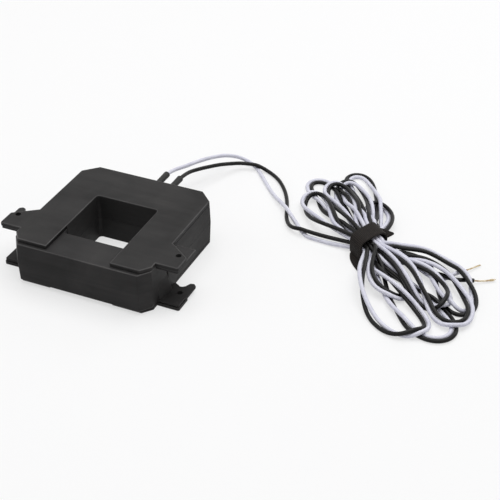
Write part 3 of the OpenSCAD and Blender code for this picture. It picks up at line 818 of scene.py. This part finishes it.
# tinned copper strand: warm grey metal with brassy patches
def tinnedStrand():
    made = newFinish("tinned strand", (0.5, 0.42, 0.3), 0.34, metal=1)
    here = spots(made, "Object")
    colourFrom(made, cloud(made, here, 420, 2),
               [(0.35, (0.3, 0.2, 0.14)), (0.5, (0.5, 0.41, 0.24)), (0.66, (0.62, 0.56, 0.46))])
    raised(made, cloud(made, here, 5000, 2), 0.000008)
    return made


# bare strands twisted round a middle one, spreading towards their ends if they are loose
def addStrands(part, finish):
    last, before = np.array(part["tail"][-1]), np.array(part["tail"][-2])
    flat = last - before
    flat[2] = 0
    way = flat / np.linalg.norm(flat) + np.array([0, 0, strand["fall"]])
    way /= np.linalg.norm(way)
    side = np.cross(way, (0, 0, 1))
    side /= np.linalg.norm(side)
    up = np.cross(side, way)
    run = np.linspace(0, strand["length"] + strand["into"], strand["steps"])
    beyond = np.clip((run - strand["into"]) / strand["length"], 0, 1)
    sway = part["sway"] * np.sin(beyond * strand["wave"])
    middle = last + (run - strand["into"])[:, None] * way + sway[:, None] * up
    around = strand["count"] - 1
    wound = 1 - strand["unwound"] * beyond * (part["loose"] > 0)
    tubes = []
    for k in range(strand["count"]):
        angle = 2 * math.pi * (k / around + run / strand["turn"] * wound)
        out = (strand["spread"] + part["loose"] * beyond ** 2 * (0.4 + 0.6 * (k % 3) / 2)) * (k < around)
        line = middle + (out * np.cos(angle))[:, None] * side + (out * np.sin(angle))[:, None] * up
        tubes.append(line[:len(run) - k % 3 * strand["shorter"]])
    selectOnly(newTubes(part["name"], tubes, strand["radius"], 1))
    bpy.ops.object.convert(target="MESH")
    piece = bpy.context.object
    dress(piece, finish)
    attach(piece, "housing")
    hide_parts(part["node"])


for part in sleeves:
    addSleeve(part)
strandMetal = tinnedStrand()
for part in ends:
    addStrands(part, strandMetal)


# finishes of what the mouldings hold

core = {"middle": 0.0022, "strip": 0.0005}


# cut strip-wound core: thin steel layers, bluish annealed flats
def woundSteel():
    made = newFinish("core steel", (0.4, 0.41, 0.43), 0.35, metal=1)
    here = spots(made, "Object")
    split = made.node_tree.nodes.new("ShaderNodeSeparateXYZ")
    made.node_tree.links.new(here, split.inputs[0])
    across = sums(made, "ABSOLUTE", split.outputs["X"], 0.0)
    along = sums(made, "ABSOLUTE", sums(made, "ADD", split.outputs["Y"], core["middle"]), 0.0)
    depth = sums(made, "MAXIMUM", across, along)
    layer = sums(made, "SINE", sums(made, "MULTIPLY", depth, 2 * math.pi / core["strip"]), 0.0)
    tone = sums(made, "ADD", sums(made, "MULTIPLY", layer, 0.22), cloud(made, here, 60, 3))
    colourFrom(made, tone, [(0.25, (0.16, 0.165, 0.18)), (0.5, (0.36, 0.37, 0.39)), (0.75, (0.5, 0.5, 0.51))])
    roughFrom(made, tone, 0.28, 0.45)
    raised(made, layer, 0.00003)
    return made


# polyester film tape, lapped along the bar
def filmTape(name, thin, thick):
    made = newFinish(name, thick, 0.3)
    here = spots(made, "Object")
    lap = bands(made, mapped(made, here, (1, 0, 0.25)), 16, "X")
    tone = blend(made, lap, cloud(made, here, 90, 3), 0.5)
    colourFrom(made, tone, [(0.3, thick), (0.7, thin)])
    roughFrom(made, tone, 0.25, 0.42)
    raised(made, lap, 0.00005)
    return made


# enamelled wire, laid turn beside turn; the dark grooves between the turns are painted shade and their light crowns a
# painted highlight
def woundCopper():
    made = newFinish("enamelled copper", (0.42, 0.15, 0.06), 0.3, metal=0.85)
    here = spots(made, "Object")
    turns = bands(made, here, 900, "X", 0.2)
    colourFrom(made, turns, [(0.2, (0.2, 0.06, 0.025)), (0.7, (0.52, 0.2, 0.08)), (0.95, (0.66, 0.31, 0.15))])
    raised(made, turns, 0.00012)
    return made


# glass-cloth laminate under green lacquer
def laminate():
    made = newFinish("board laminate", (0.03, 0.12, 0.05), 0.35)
    here = spots(made, "Object")
    cloth = sums(made, "MULTIPLY", bands(made, here, 500, "X"), bands(made, here, 500, "Z"))
    tone = blend(made, cloth, cloud(made, here, 120, 2), 0.4)
    colourFrom(made, tone, [(0.25, (0.018, 0.085, 0.035)), (0.7, (0.05, 0.18, 0.075))])
    raised(made, cloth, 0.00002)
    return made


# black epoxy body of a small part
def chipEpoxy():
    made = newFinish("chip epoxy", (0.012, 0.012, 0.013), 0.5)
    here = spots(made, "Object")
    colourFrom(made, cloud(made, here, 700, 3), [(0.35, (0.009, 0.009, 0.01)), (0.65, (0.02, 0.02, 0.021))])
    raised(made, cloud(made, here, 4000, 2), 0.00001)
    return made


# open-cell foam of the pad; the dark cell middles are painted shade in the pores
def foam():
    made = newFinish("pad foam", (0.045, 0.045, 0.05), 0.95)
    here = spots(made, "Object")
    cells = made.node_tree.nodes.new("ShaderNodeTexVoronoi")
    cells.inputs["Scale"].default_value = 1100
    made.node_tree.links.new(here, cells.inputs["Vector"])
    colourFrom(made, cells.outputs["Distance"], [(0.1, (0.012, 0.012, 0.014)), (0.7, (0.07, 0.07, 0.075))])
    raised(made, cells.outputs["Distance"], 0.0003)
    return made


copper, chip, steel = woundCopper(), chipEpoxy(), woundSteel()
inside = {
    "core_long": steel, "core_short": steel, "winding": copper, "coil_ends": copper,
    "core_insulation": filmTape("inner tape", (0.62, 0.4, 0.1), (0.5, 0.3, 0.06)),
    "winding_wrap": filmTape("outer tape", (0.72, 0.5, 0.06), (0.55, 0.36, 0.03)),
    "terminal_board": laminate(), "burden_resistor": chip, "clamp_diode": chip, "core_pad": foam(),
    "lead_root_white": whiteJacket, "lead_root_black": blackJacket}
for name, finish in inside.items():
    dress(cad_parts[name], finish)
print(len(inside), "inner parts are dressed")


bpy.context.view_layer.update()
